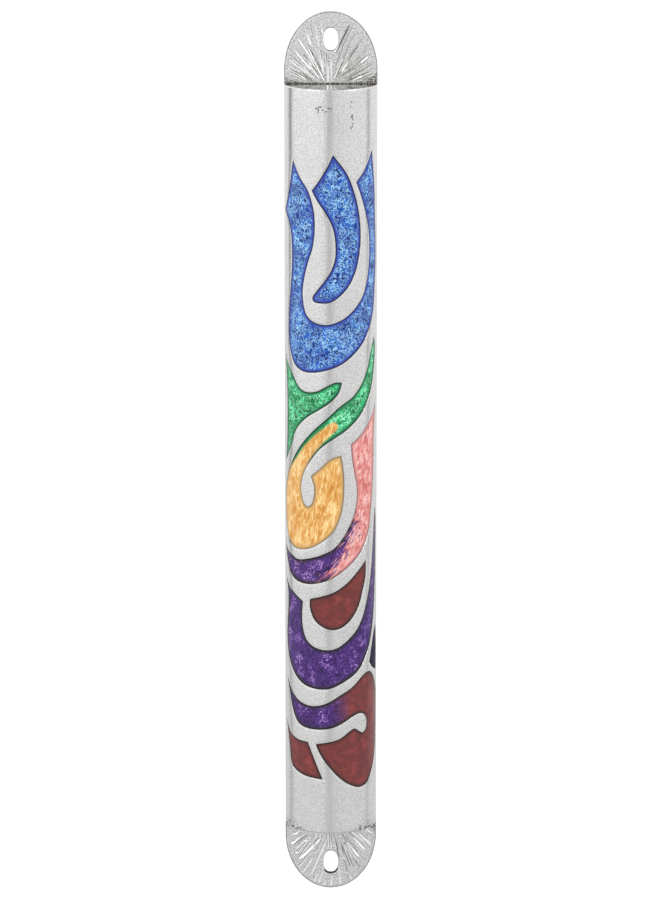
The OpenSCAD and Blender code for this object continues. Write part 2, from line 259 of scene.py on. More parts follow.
# ---- Outlines on the unrolled body ----
def span_points(a, b, c, d):
    """Points of the smooth span from b up to but not including c, with neighbours a and d."""
    count = max(2, round(float(np.linalg.norm(c - b)) / OUTLINE_STEP))
    t = (np.arange(count) / count)[:, None]
    return 0.5 * (2 * b + (c - a) * t + (2 * a - 5 * b + 4 * c - d) * t**2
                  + (3 * b - a - 3 * c + d) * t**3)


def outline_of(cell):
    """Closed outline of a cell as an array of points."""
    parts = []
    for i, run in enumerate(cell):
        p = np.array(run + [cell[(i + 1) % len(cell)][0]], float)
        for k in range(len(p) - 1):
            before = p[k - 1] if k else 2 * p[0] - p[1]
            after = p[k + 2] if k + 2 < len(p) else 2 * p[-1] - p[-2]
            parts.append(span_points(before, p[k], p[k + 1], after))
    return np.concatenate(parts)


def inside_outline(points, outline):
    """True for each point that lies inside the closed outline."""
    a = outline
    b = np.roll(outline, -1, axis=0)
    y = points[:, 1:2]
    crosses = (a[:, 1] > y) != (b[:, 1] > y)
    rise = np.where(b[:, 1] == a[:, 1], 1e-12, b[:, 1] - a[:, 1])
    x_at = a[:, 0] + (y - a[:, 1]) / rise * (b[:, 0] - a[:, 0])
    return (np.sum(crosses & (points[:, 0:1] < x_at), axis=1) % 2) == 1


def nearest_on_outline(points, outline):
    """Distance to the outline and the nearest point on it, for each point."""
    a = outline
    ab = np.roll(outline, -1, axis=0) - a
    t = np.einsum("pij,ij->pi", points[:, None, :] - a, ab) / np.maximum(np.sum(ab * ab, axis=1), 1e-12)
    near = a + np.clip(t, 0, 1)[..., None] * ab
    gap = np.linalg.norm(points[:, None, :] - near, axis=2)
    best = np.argmin(gap, axis=1)
    rows = np.arange(len(points))
    return gap[rows, best], near[rows, best]


def loop_edges(start, count):
    """Edges of a closed loop of count points, the first of them numbered start."""
    return [(start + i, start + (i + 1) % count) for i in range(count)]


def fill_outline(coords, edges, outer, holes):
    """Triangles between the outer loop and its holes, as (points, triangles, their centres)."""
    verts, _, tris, *_ = delaunay_2d_cdt([Vector(p) for p in coords], edges, [], 0, 1e-5)
    flat = np.array([v[:] for v in verts])
    tris = np.array(tris)
    centre = flat[tris].mean(axis=1)
    keep = inside_outline(centre, np.array(outer))
    for hole in holes:
        keep &= ~inside_outline(centre, np.array(hole))
    return flat, tris[keep], centre[keep]


def quad_rows(rows, count, closed):
    """Quads between successive rows of count points each; a closed row joins its ends."""
    quads = []
    for k in range(rows - 1):
        for i in range(count if closed else count - 1):
            j = (i + 1) % count
            quads.append((k * count + i, k * count + j, (k + 1) * count + j, (k + 1) * count + i))
    return quads


def ripple(s, z):
    """Slow unevenness of a hand-finished surface, between about -1 and 1."""
    return (np.sin(0.31 * s + 0.17 * z + 1.3) + np.sin(0.47 * s - 0.23 * z + 0.4)
            + np.sin(0.11 * z + 2.1) + np.sin(0.83 * s + 0.41 * z)) / 4


def body_ripple(s, z):
    """Ripple of the body in millimetres, none close to the plate."""
    return BODY_RIPPLE * ripple(s, z) * (np.abs(s) < RADIUS * RIPPLE_REACH)


class BodyGrid:
    """Grid on the unrolled body whose vertices near a cell wall are moved onto the wall."""

    def __init__(self):
        half_arc = RADIUS * math.pi / 2
        self.cols = 2 * round(half_arc / GRID_STEP) + 1
        self.rows = 2 * round(TUBE_HALF / GRID_STEP) + 1
        s = np.linspace(-half_arc, half_arc, self.cols)
        z = np.linspace(-TUBE_HALF, TUBE_HALF, self.rows)
        self.points = np.stack(np.meshgrid(s, z), axis=-1).reshape(-1, 2)
        self.depth = np.full(len(self.points), -1e3)
        self.cell = np.full(len(self.points), -1)
        for index, name in enumerate(CELLS):
            self.add_cell(index, outline_of(CELLS[name]))

    def add_cell(self, index, outline):
        reach = 3 * GRID_STEP
        low = outline.min(axis=0) - reach
        high = outline.max(axis=0) + reach
        near = np.where(np.all((self.points > low) & (self.points < high), axis=1))[0]
        for chunk in np.array_split(near, max(1, len(near) // 1500)):
            p = self.points[chunk]
            gap, foot = nearest_on_outline(p, outline)
            inside = inside_outline(p, outline)
            snap = gap < 0.5 * GRID_STEP
            self.points[chunk[snap]] = foot[snap]
            depth = np.where(snap, 0.0, np.where(inside, gap, -gap))
            closer = depth > self.depth[chunk]
            self.depth[chunk[closer]] = depth[closer]
            self.cell[chunk[closer & (inside | snap)]] = index

    def faces(self):
        """Quads of the grid, cut into triangles where a wall runs along a diagonal."""
        rows, cols = self.rows, self.cols
        first = (np.arange(rows - 1)[:, None] * cols + np.arange(cols - 1)).reshape(-1)
        quads = np.stack([first, first + 1, first + cols + 1, first + cols], axis=1)
        side = np.sign(self.depth)[quads]
        mixed = (side.max(axis=1) > 0) & (side.min(axis=1) < 0)
        out = [tuple(q) for q in quads[~mixed].tolist()]
        for q, k in zip(quads[mixed].tolist(), side[mixed]):
            if k[0] == 0 and k[2] == 0:
                out += [(q[0], q[1], q[2]), (q[0], q[2], q[3])]
            else:
                out += [(q[0], q[1], q[3]), (q[1], q[2], q[3])]
        return out


def on_body(s, z, r):
    """Points at radius r on the half-round body."""
    angle = s / RADIUS
    return np.stack([r * np.sin(angle), -PLATE_T - r * np.cos(angle), z], axis=-1)


# ---- Objects ----
def make_object(name, verts, faces, materials, face_materials=None, sharp_deg=32, weld=0.0):
    """Object from millimetre vertices, smooth except at edges sharper than sharp_deg."""
    mesh = bpy.data.meshes.new(name)
    mesh.from_pydata([tuple(c * MM for c in v) for v in verts], [], faces)
    for material in materials:
        mesh.materials.append(material)
    if face_materials is not None:
        mesh.polygons.foreach_set("material_index", face_materials)
    mesh.validate()
    bm = bmesh.new()
    bm.from_mesh(mesh)
    if weld:
        bmesh.ops.remove_doubles(bm, verts=bm.verts, dist=weld * MM)
    bmesh.ops.recalc_face_normals(bm, faces=bm.faces)
    bm.to_mesh(mesh)
    bm.free()
    finish_shading(mesh, sharp_deg)
    return add_object(name, mesh)


def add_object(name, data):
    obj = bpy.data.objects.new(name, data)
    bpy.context.scene.collection.objects.link(obj)
    return obj


def finish_shading(mesh, sharp_deg):
    mesh.shade_smooth()
    mesh.set_sharp_from_angle(angle=math.radians(sharp_deg))
    mesh.update()


def set_attribute(obj, name, values):
    layer = obj.data.attributes.new(name, "FLOAT", "POINT")
    layer.data.foreach_set("value", np.asarray(values, np.float32))


def place(obj, body, node):
    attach(obj, body)
    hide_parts(node)
    return obj


def build_shell(grid, faces, material):
    """Half-round shell with the sunk cells and a rounded silver edge round each."""
    s, z = grid.points[:, 0], grid.points[:, 1]
    edge = EDGE_DROP * np.exp(-np.clip(-grid.depth, 0, None) / EDGE_FADE)
    r = np.where(grid.depth > 0, RADIUS - CELL_DEPTH, RADIUS - edge)
    r = r + body_ripple(s, z) * (grid.depth <= 0)
    outer = on_body(s, z, r)
    ends = np.concatenate([np.arange(grid.cols), np.arange(grid.cols) + grid.cols * (grid.rows - 1)])
    inner = on_body(s[ends], z[ends], np.full(len(ends), RADIUS - SHELL_WALL))
    base = len(outer)
    top = grid.cols * (grid.rows - 1)
    all_faces = list(faces)
    for c in range(grid.cols - 1):
        low = base + c
        high = base + grid.cols + c
        all_faces.append((low, high, high + 1, low + 1))
        all_faces.append((c, low, low + 1, c + 1))
        all_faces.append((top + c, top + c + 1, high + 1, high))
    for c, inner_low in ((0, base), (grid.cols - 1, base + grid.cols - 1)):
        column = [row * grid.cols + c for row in range(grid.rows)]
        all_faces.append(tuple(column + [inner_low + grid.cols, inner_low]))
    shell = make_object("case_body", np.concatenate([outer, inner]), all_faces, [material])
    return place(shell, "case", "half_round_shell")


def build_enamel(grid, faces, name, material, tint):
    """One enamel fill: its face hangs slightly hollow between the silver walls."""
    index = list(CELLS).index(name)
    outline = outline_of(CELLS[name])
    picked = []
    for face in faces:
        ids = np.array(face)
        if np.all(grid.cell[ids] == index) and np.all(grid.depth[ids] >= 0):
            picked.append(face)
    level = [f for f in picked if np.all(grid.depth[np.array(f)] == 0)]
    if level:
        centres = np.array([grid.points[np.array(f)].mean(axis=0) for f in level])
        outside = ~inside_outline(centres, outline)
        dropped = {level[i] for i in np.where(outside)[0]}
        picked = [f for f in picked if f not in dropped]
    used = sorted({v for f in picked for v in f})
    new_id = {v: i for i, v in enumerate(used)}
    picked = [tuple(new_id[v] for v in f) for f in picked]
    s, z = grid.points[used, 0], grid.points[used, 1]
    depth = grid.depth[used]
    hollow = GLASS_HOLLOW * (1 - np.exp(-depth / GLASS_FADE))
    face_r = RADIUS - ENAMEL_SINK + GLASS_LIP - hollow + GLASS_RIPPLE * ripple(1.7 * s + 3, 1.3 * z)
    count = len(used)
    verts = np.concatenate([on_body(s, z, face_r), on_body(s, z, np.full(count, RADIUS - CELL_DEPTH))])
    edges = dict.fromkeys((a, b) for f in picked for a, b in zip(f, f[1:] + f[:1]))
    rim = [(a, b) for a, b in edges if (b, a) not in edges]
    all_faces = picked + [tuple(v + count for v in reversed(f)) for f in picked]
    all_faces += [(b, a, a + count, b + count) for a, b in rim]
    obj = make_object(name + "_glass", verts, all_faces, [material], sharp_deg=50)
    set_attribute(obj, "edge", np.concatenate([depth, depth]))
    blend = tint(s, z) if tint else np.zeros(count)
    set_attribute(obj, "tint", np.concatenate([blend, blend]))
    return place(obj, "case", name + "_enamel")


# ---- Back plate ----
def plate_loop(inset, tab_steps=72, side_steps=8):
    """Closed outline of the plate, (x, z), moved inwards by inset."""
    points = []
    for end in (1, -1):
        for i in range(tab_steps + 1):
            a = math.pi * i / tab_steps
            x, z = HALF_W * math.cos(a), TAB_ROUND * math.sin(a)
            nx, nz = math.cos(a) / HALF_W, math.sin(a) / TAB_ROUND
            size = math.hypot(nx, nz)
            points.append((end * (x - inset * nx / size), end * (z - inset * nz / size + ROUND_Z)))
        x_side = -end * (HALF_W - inset)
        for level in np.linspace(TUBE_HALF, -TUBE_HALF, side_steps):
            points.append((x_side, end * level))
    return points


def slot_loop(z_mid, grow, steps=48):
    """Oval nail hole, (x, z), made larger all round by grow."""
    power = 2 / SLOT_SQUARENESS
    points = []
    for i in range(steps):
        a = 2 * math.pi * i / steps
        c, s = math.cos(a), math.sin(a)
        x = math.copysign(abs(c) ** power, c) * (SLOT_HALF_W + grow)
        z = math.copysign(abs(s) ** power, s) * (SLOT_HALF_LEN + grow)
        points.append((x, z + z_mid))
    return points


class Ray:
    """A bright-cut V groove that tapers at both ends."""

    def __init__(self, start, end, width, look):
        self.look = look
        self.start = np.array(start, float)
        self.end = np.array(end, float)
        self.half = width * RAY_WIDEN / 2
        self.along = self.end - self.start
        self.length = float(np.linalg.norm(self.along))
        self.along /= self.length
        self.across = np.array([-self.along[1], self.along[0]])

    def corners(self):
        shapes = [(0, 0), (RAY_TAPER, 1), (1 - RAY_TAPER, 1), (1, 0), (1 - RAY_TAPER, -1), (RAY_TAPER, -1)]
        return [self.start + self.along * u * self.length + self.across * v * self.half for u, v in shapes]

    def spine(self):
        return [self.start + self.along * u * self.length for u in (0, RAY_TAPER, 1 - RAY_TAPER, 1)]

    def depth_at(self, points):
        """Depth of the groove at each point, zero outside it."""
        rel = points - self.start
        u = rel @ self.along / self.length
        v = np.abs(rel @ self.across)
        half = self.half * np.clip(np.minimum(u, 1 - u) / RAY_TAPER, 0, 1)
        return np.where(v < half, (half - v) * RAY_SLOPE, 0)


def tab_rays(rays, flip):
    """The drawn rays, plus fine cuts between them that fan out from the same place."""
    out = [Ray(*ray) for ray in rays]
    for k in range(FINE_RAYS):
        angle = math.radians(FAN_DEGREES * ((k + RNG.uniform(0.1, 0.9)) / FINE_RAYS - 0.5))
        near = RNG.uniform(2.5, 9)
        far = near + RNG.uniform(2.5, 6)
        width = RNG.uniform(0.16, 0.26)
        look = (BRIGHT, SPLIT, SPLIT)[RNG.integers(3)]
        reach = np.linspace(near, far, FINE_SAMPLES)
        path = [(FAN_HUB[0] + r * math.sin(angle), FAN_HUB[1] + r * math.cos(angle)) for r in reach]
        path = [(x, z) for x, z in path if on_tab(x, z, FINE_MARGIN, BODY_HALF + FINE_MARGIN)]
        # A cut that the nail hole would interrupt is left out
        longest = 0.12 * (far - near) * len(path)
        if len(path) > 4 and math.dist(path[0], path[-1]) < longest:
            ends = [(x, flip * z) for x, z in (path[0], path[-1])]
            out.append(Ray(*ends, width, look))
    return out


def on_tab(x, z, margin, foot):
    """True where (x, z) is on the upper tab: above foot, and margin inside its rim and off its hole."""
    rim = (x / (HALF_W - margin)) ** 2 + (np.maximum(z - ROUND_Z, 0) / (TAB_ROUND - margin)) ** 2
    hole = (x / (SLOT_HALF_W + margin)) ** 2 + ((z - SLOT_Z) / (SLOT_HALF_LEN + margin)) ** 2
    return (rim < 1) & (hole > 1) & (z > foot)


def tab_front(sign, rays):
    """Front of one tab as (vertices, triangles, material of each triangle)."""
    outer = [p for p in plate_loop(PLATE_BEVEL) if sign * p[1] >= TUBE_HALF - TINY]
    outer.sort(key=lambda p: math.atan2(sign * p[1] - TUBE_HALF, p[0]))
    foot_x = np.linspace(outer[-1][0], outer[0][0], FOOT_POINTS)[1:-1]
    boundary = outer + [(x, sign * TUBE_HALF) for x in foot_x]
    hole = slot_loop(sign * SLOT_Z, PLATE_BEVEL)
    coords = boundary + hole
    edges = loop_edges(0, len(boundary)) + loop_edges(len(boundary), len(hole))
    fixed = len(coords)
    rays = [r for r in rays if min(sign * r.start[1], sign * r.end[1]) > TUBE_HALF]
    for ray in rays:
        for chain, closed in ((ray.corners(), True), (ray.spine(), False)):
            chain_edges = loop_edges(len(coords), len(chain))
            edges += chain_edges if closed else chain_edges[:-1]
            coords = coords + chain
    flat, tris, centre = fill_outline(coords + stipple_points(sign, rays), edges, boundary, [hole])
    depth = np.zeros(len(flat))
    look = np.full(len(tris), GROUND)
    for ray in rays:
        depth = np.maximum(depth, ray.depth_at(flat))
        in_cut = ray.depth_at(centre) > 0
        left = (centre - ray.start) @ ray.across > 0
        look[in_cut & left] = ray.look[0]
        look[in_cut & ~left] = ray.look[1]
    grain = RNG.uniform(-STIPPLE_DEPTH, STIPPLE_DEPTH, len(flat))
    grain[:fixed] = 0
    edge_gap, _ = nearest_on_outline(flat, np.array(boundary))
    hole_gap, _ = nearest_on_outline(flat, np.array(hole))
    calm = np.clip(np.minimum(edge_gap, hole_gap) / STIPPLE_FADE, 0, 1)
    y = -PLATE_T + depth + grain * (depth == 0) * calm
    return np.stack([flat[:, 0], y, flat[:, 1]], axis=1), tris.tolist(), look.tolist()


def stipple_points(sign, rays):
    """Jittered ground points that stay off the grooves."""
    x = np.arange(-HALF_W, HALF_W, STIPPLE_STEP)
    z = np.arange(TUBE_HALF, TIP_Z, STIPPLE_STEP)
    points = np.stack(np.meshgrid(x, z), axis=-1).reshape(-1, 2)
    points = points + RNG.uniform(-0.3, 0.3, points.shape) * STIPPLE_STEP
    on_ground = on_tab(points[:, 0], points[:, 1], STIPPLE_MARGIN, TUBE_HALF + STIPPLE_STEP / 2)
    points = points[on_ground]
    points[:, 1] *= sign
    free = np.ones(len(points), bool)
    for ray in rays:
        rel = points - ray.start
        u = rel @ ray.along
        v = np.abs(rel @ ray.across)
        free &= ~((u > -0.1) & (u < ray.length + 0.1) & (v < ray.half + 0.08))
    return list(points[free])


def build_back_plate(materials):
    """Plate with engraved tabs, bevelled edges, nail holes, dovetail channel and scroll window."""
    verts, faces, marks = [], [], []

    def add(new_verts, new_faces, mark):
        base = len(verts)
        verts.extend([tuple(v) for v in new_verts])
        faces.extend([tuple(base + i for i in f) for f in new_faces])
        marks.extend(mark if isinstance(mark, list) else [mark] * len(new_faces))

    # The rays of both tabs come before either front, so that the random draws keep their order
    tabs = ((1, tab_rays(TOP_RAYS, 1)), (-1, tab_rays(BOTTOM_RAYS, -1)))
    for sign, rays in tabs:
        add(*tab_front(sign, rays))
    add(*middle_front())
    loops = [[(x, y, z) for x, z in plate_loop(inset)] for inset, y in PLATE_PROFILE]
    # The front bevel gets a darker material as painted shade along the plate's outline.
    add_sleeve(add, loops[:3], BEVEL_SHADE)
    add_sleeve(add, loops[2:])
    for sign in (1, -1):
        loops = [[(x, y, z) for x, z in slot_loop(sign * SLOT_Z, grow)] for grow, y in HOLE_PROFILE]
        # The walls of both holes, and the lower part of the bottom hole's bevel, are painted dark as shade.
        in_hole_shade = [sign < 0 and z < -SLOT_Z - 0.7 * SLOT_HALF_LEN for _, _, z in loops[0]]
        add_sleeve(add, loops[:-1], [HOLE_SHADE if flag else PLAIN for flag in in_hole_shade] * (len(loops) - 2))
        add_sleeve(add, loops[-2:], HOLE_SHADE)
    add(*back_face())

    plate = make_object("engraved_plate", verts, faces, materials, marks, sharp_deg=25, weld=0.002)
    channel = dovetail_cutter()
    window = box_cutter((-WINDOW_HALF_W, -PLATE_T - 1, -WINDOW_HALF_LEN),
                        (WINDOW_HALF_W, 1, WINDOW_HALF_LEN))
    cut_away(plate, [channel, window])
    finish_shading(plate.data, 25)
    return place(plate, "case", "back_plate")


def add_sleeve(add, loops, mark=PLAIN):
    """Quads between successive closed loops."""
    add([v for loop in loops for v in loop], quad_rows(len(loops), len(loops[0]), True), mark)


def middle_front():
    """Front of the plate between the two tabs, under the body, as one face."""
    middle = [p for p in plate_loop(PLATE_BEVEL) if abs(p[1]) <= TUBE_HALF + TINY]
    right = sorted([p for p in middle if p[0] > 0], key=lambda p: p[1])
    left = sorted([p for p in middle if p[0] < 0], key=lambda p: -p[1])
    top = [(x, TUBE_HALF) for x in np.linspace(right[-1][0], left[0][0], FOOT_POINTS)[1:-1]]
    low = [(x, -TUBE_HALF) for x in np.linspace(left[-1][0], right[0][0], FOOT_POINTS)[1:-1]]
    ring = right + top + left + low
    return [(x, -PLATE_T, z) for x, z in ring], [tuple(range(len(ring)))], PLAIN


def back_face():
    """Flat back of the plate with its two nail holes."""
    loops = [plate_loop(PLATE_BEVEL), slot_loop(SLOT_Z, 0), slot_loop(-SLOT_Z, 0)]
    coords, edges = [], []
    for loop in loops:
        edges += loop_edges(len(coords), len(loop))
        coords += loop
    flat, tris, _ = fill_outline(coords, edges, loops[0], loops[1:])
    return [(x, 0, z) for x, z in flat], tris.tolist(), PLAIN


def dovetail_cutter():
    """Bar of the channel's cross-section, open at the lower end."""
    slope = DOVETAIL / PANEL_T
    back = PANEL_HALF_W + PANEL_GAP
    inner = back + DOVETAIL + slope * PANEL_GAP
    front = -PANEL_T - PANEL_GAP
    section = [(-back + slope, 1), (back - slope, 1), (inner, front), (-inner, front)]
    z0 = -TIP_Z - 1
    z1 = PANEL_HIGH[2] + PANEL_GAP
    verts = [(x, y, z) for z in (z0, z1) for x, y in section]
    faces = [(3, 2, 1, 0), (4, 5, 6, 7)] + [(i, (i + 1) % 4, 4 + (i + 1) % 4, 4 + i) for i in range(4)]
    return make_object("channel_cutter", verts, faces, [])


def box_cutter(low, high):
    """Box between two opposite corners."""
    verts = [(x, y, z) for x in (low[0], high[0]) for y in (low[1], high[1]) for z in (low[2], high[2])]
    faces = [(0, 1, 3, 2), (4, 6, 7, 5), (0, 4, 5, 1), (2, 3, 7, 6), (0, 2, 6, 4), (1, 5, 7, 3)]
    return make_object("window_cutter", verts, faces, [])


def cut_away(obj, cutters):
    """Subtracts the cutters from obj for good, and removes them."""
    for cutter in cutters:
        step = obj.modifiers.new("cut", "BOOLEAN")
        step.operation = "DIFFERENCE"
        step.solver = "EXACT"
        step.object = cutter
    bpy.context.view_layer.update()
    solid = obj.evaluated_get(bpy.context.evaluated_depsgraph_get())
    mesh = bpy.data.meshes.new_from_object(solid)
    obj.modifiers.clear()
    old = obj.data
    obj.data = mesh
    bpy.data.meshes.remove(old)
    for cutter in cutters:
        bpy.data.objects.remove(cutter)


# ---- End caps and parchment ----
def build_end_cap(sign, materials, node):
    """D-shaped end wall with a rounded rim and a rough bead of old solder along the plate."""
    profile = [(0, TUBE_HALF), (0, BODY_HALF - RIM_ROUND)]
    for i in range(1, RIM_STEPS + 1):
        a = math.pi / 2 * i / RIM_STEPS
        profile.append((RIM_ROUND * (1 - math.cos(a)), BODY_HALF - RIM_ROUND * (1 - math.sin(a))))
    verts = []
    for inset, z in profile:
        for i in range(CAP_STEPS + 1):
            s = RADIUS * math.pi * (i / CAP_STEPS - 0.5)
            r = RADIUS - inset + float(body_ripple(s, sign * TUBE_HALF))
            x, y, _ = on_body(s, z, r)
            verts.append((x, y, sign * z))
    row = CAP_STEPS + 1
    faces = quad_rows(len(profile), row, False)
    marks = [CAP_RIM] * len(faces) + [CAP_FACE, CAP_FACE, CAP_RIM]
    starts = [k * row for k in range(len(profile))]
    flat_side = starts + [start + CAP_STEPS for start in reversed(starts)]
    faces += [tuple(range(starts[-1], starts[-1] + row)), tuple(reversed(range(row))), tuple(flat_side)]
    add_solder_bead(sign, verts, faces, marks)
    cap = make_object(node + "_wall", verts, faces, materials, marks, sharp_deg=40)
    return place(cap, "case", node)


def add_solder_bead(sign, verts, faces, marks):
    """Lumpy quarter-round bead in the corner between an end cap and the plate."""
    base = len(verts)
    for i in range(BEAD_STEPS + 1):
        x = (HALF_W - 0.25) * (2 * i / BEAD_STEPS - 1)
        ends = (abs(x) / HALF_W) ** 6
        size = 0.12 + 0.2 * ends + 0.03 * math.sin(5.1 * x) + 0.03 * math.sin(11.3 * x + 1)
        size = max(0.06, size + RNG.uniform(-0.03, 0.03))
        verts.append((x, -PLATE_T, sign * BODY_HALF))
        for k in range(BEAD_TURNS + 1):
            a = math.pi / 2 * k / BEAD_TURNS
            bulge = size * (1 - 0.35 * math.sin(2 * a))
            verts.append((x, -PLATE_T - bulge * math.sin(a), sign * (BODY_HALF + bulge * math.cos(a))))
    ring = BEAD_TURNS + 2
    for i in range(BEAD_STEPS):
        for k in range(ring):
            a, b = base + i * ring + k, base + i * ring + (k + 1) % ring
            faces.append((a, b, b + ring, a + ring))
    for i in (0, BEAD_STEPS):
        faces.append(tuple(base + i * ring + k for k in range(ring)))
    marks += [CAP_SOLDER] * (len(faces) - len(marks))


def build_scroll(material):
    """Rolled parchment: one long sheet wound in a spiral."""
    turns, per_turn = 9.5, 48
    thick = 0.17
    centre_y = (SCROLL_LOW[1] + SCROLL_HIGH[1]) / 2
    outer_r = (SCROLL_HIGH[0] - SCROLL_LOW[0]) / 2 - 0.03
    inner_r = 1.1
    count = round(turns * per_turn)
    levels = np.linspace(SCROLL_LOW[2] + 0.05, SCROLL_HIGH[2] - 0.35, 25)
    verts, faces = [], []
    for side in (0, thick):
        for i in range(count + 1):
            a = 2 * math.pi * i / per_turn
            r = inner_r + thick + (outer_r - inner_r - thick) * i / count - side
            for n, level in enumerate(levels):
                end = 1 if n == len(levels) - 1 else 0
                z = level + end * 0.3 * math.sin(0.7 * a) ** 2
                swell = 0.02 * math.sin(0.11 * z + 2 * a)
                reach = r + swell * side
                verts.append((reach * math.cos(a), centre_y + reach * math.sin(a), z))
    rows = len(levels)
    shift = (count + 1) * rows
    for i in range(count):
        for n in range(rows - 1):
            a = i * rows + n
            faces.append((a, a + rows, a + rows + 1, a + 1))
            faces.append((shift + a + 1, shift + a + rows + 1, shift + a + rows, shift + a))
        for n in (0, rows - 1):
            a = i * rows + n
            faces.append((a, a + rows, shift + a + rows, shift + a))
    for n in range(rows - 1):
        for a in (n, count * rows + n):
            faces.append((a, a + 1, shift + a + 1, shift + a))
    scroll = make_object("rolled_parchment", verts, faces, [material], sharp_deg=50)
    return place(scroll, "scroll", "parchment_scroll")


# ---- Materials ----
class Nodes:
    """Short calls that add nodes to a node tree."""

    def __init__(self, tree, coordinates):
        self.tree = tree
        self.tree.nodes.clear()
        self.where = self.tree.nodes.new("ShaderNodeTexCoord").outputs[coordinates]

    def put(self, socket, value):
        if isinstance(value, bpy.types.NodeSocket):
            self.tree.links.new(value, socket)
        elif socket.type == "RGBA" and len(value) == 3:
            socket.default_value = tuple(value) + (1,)
        else:
            socket.default_value = value

    def node(self, kind, **inputs):
        """New node, with the named inputs set or linked."""
        node = self.tree.nodes.new("ShaderNode" + kind)
        for name, value in inputs.items():
            self.put(node.inputs[name], value)
        return node

    def math(self, operation, *values):
        node = self.node("Math")
        node.operation = operation
        for socket, value in zip(node.inputs, values):
            self.put(socket, value)
        return node.outputs[0]

    def square_sum(self, a, b):
        return self.math("ADD", self.math("MULTIPLY", a, a), self.math("MULTIPLY", b, b))

    def stretch(self, x=1.0, y=1.0, z=1.0, turn=0.0):
        """Object coordinates in millimetres, turned about Y and then stretched."""
        turned = self.node("VectorRotate", Vector=self.where, Angle=math.radians(turn))
        turned.rotation_type = "Y_AXIS"
        return self.node("Mapping", Vector=turned.outputs[0], Scale=(x / MM, y / MM, z / MM)).outputs[0]

    def split(self, vector):
        return list(self.node("SeparateXYZ", Vector=vector).outputs)

    def noise(self, vector, scale, detail=2.0, rough=0.5, warp=0.0):
        return self.node("TexNoise", Vector=vector, Scale=scale, Detail=detail,
                         Roughness=rough, Distortion=warp).outputs["Fac"]

    def cells(self, vector, scale):
        return self.node("TexVoronoi", Vector=vector, Scale=scale).outputs["Distance"]

    def ramp(self, value, *stops):
        """Ramp from (position, grey or colour) stops."""
        node = self.node("ValToRGB", Fac=value)
        elements = node.color_ramp.elements
        while len(elements) < len(stops):
            elements.new(0.5)
        for element, (position, colour) in zip(elements, stops):
            element.position = position
            grey = isinstance(colour, (int, float))
            element.color = (colour,) * 3 + (1,) if grey else tuple(colour) + (1,)
        return node.outputs["Color"]

    def mix(self, factor, a, b):
        node = self.node("Mix")
        node.data_type = "RGBA"
        for socket, value in ((node.inputs["Factor"], factor), (node.inputs[6], a), (node.inputs[7], b)):
            self.put(socket, value)
        return node.outputs[2]

    def attribute(self, name):
        node = self.node("Attribute")
        node.attribute_name = name
        return node.outputs["Fac"]


class Shader(Nodes):
    """Node material with a Principled surface."""

    def __init__(self, name):
        self.material = bpy.data.materials.new(name)
        self.material.use_nodes = True
        super().__init__(self.material.node_tree, "Object")
        out = self.tree.nodes.new("ShaderNodeOutputMaterial")
        self.bsdf = self.tree.nodes.new("ShaderNodeBsdfPrincipled")
        self.tree.links.new(self.bsdf.outputs[0], out.inputs[0])

    def surface(self, **values):
        for key, value in values.items():
            self.put(self.bsdf.inputs[key.replace("_", " ").title().replace("Ior", "IOR")], value)
        return self.material

    def finish(self, colour, pattern, rough, smooth, *relief, **values):
        """Surface with roughness from rough to smooth across the pattern, and bumps, lowest first."""
        roughness = self.ramp(pattern, (0.3, rough), (0.7, smooth))
        normal = None
        for height, distance in relief:
            bump = self.node("Bump", Distance=distance * MM, Height=height)
            if normal is not None:
                self.put(bump.inputs["Normal"], normal)
            normal = bump.outputs[0]
        return self.surface(base_color=colour, roughness=roughness, normal=normal, **values)


def seen(red, green, blue):
    """Linear colour from the 0 to 255 values that it shows as."""
    out = []
    for value in (red, green, blue):
        v = value / 255
        out.append(v / 12.92 if v <= 0.04045 else ((v + 0.055) / 1.055) ** 2.4)
    return tuple(out)


# ---- Metals and parchment ----
def silver_material(name, tone, rough, marked):
    """Satin silver: sandblasted grain, faint clouds, small pits and dark specks at the lower rim."""
    shader = Shader(name)
    where = shader.stretch()
    cloud = shader.noise(where, 0.22, 3)
    grain = shader.noise(where, 4.0, 2, 0.7)
    pits = shader.ramp(shader.cells(where, 0.4), (0.03, 0.0), (0.05, 1.0))
    light = (tone, tone, tone * 0.995)
    dark = tuple(c * 0.68 for c in light)
    colour = shader.mix(shader.ramp(grain, (0.36, 0.0), (0.58, 1.0)), dark, light)
    colour = shader.mix(shader.ramp(cloud, (0.35, 0.16), (0.65, 0.0)), colour, dark)
    if marked:
        colour = shader.mix(shader.math("SUBTRACT", 1.0, pits), colour, (0.2, 0.2, 0.2))
        colour = shader.mix(rim_specks(shader, where), colour, (0.06, 0.05, 0.045))
        colour = shader.mix(dent_specks(shader, where), colour, (0.16, 0.16, 0.15))
    return shader.finish(colour, grain, rough + 0.1, rough - 0.04,
                         (pits, 0.03), (grain, 0.022), metallic=1.0)


def rim_specks(shader, where):
    """Factor of the dark, rough specks at both ends of the body's lower rim."""
    x, _, z = shader.split(where)
    far = shader.ramp(shader.math("MULTIPLY", shader.math("ABSOLUTE", x), 0.1), (0.5, 0.0), (0.72, 1.0))
    low = shader.ramp(shader.math("MULTIPLY", z, -0.01), (0.798, 0.0), (0.815, 1.0))
    specks = shader.ramp(shader.noise(where, 1.5, 2, 0.6), (0.5, 0.0), (0.57, 1.0))
    return shader.math("MULTIPLY", specks, shader.math("MULTIPLY", far, low))


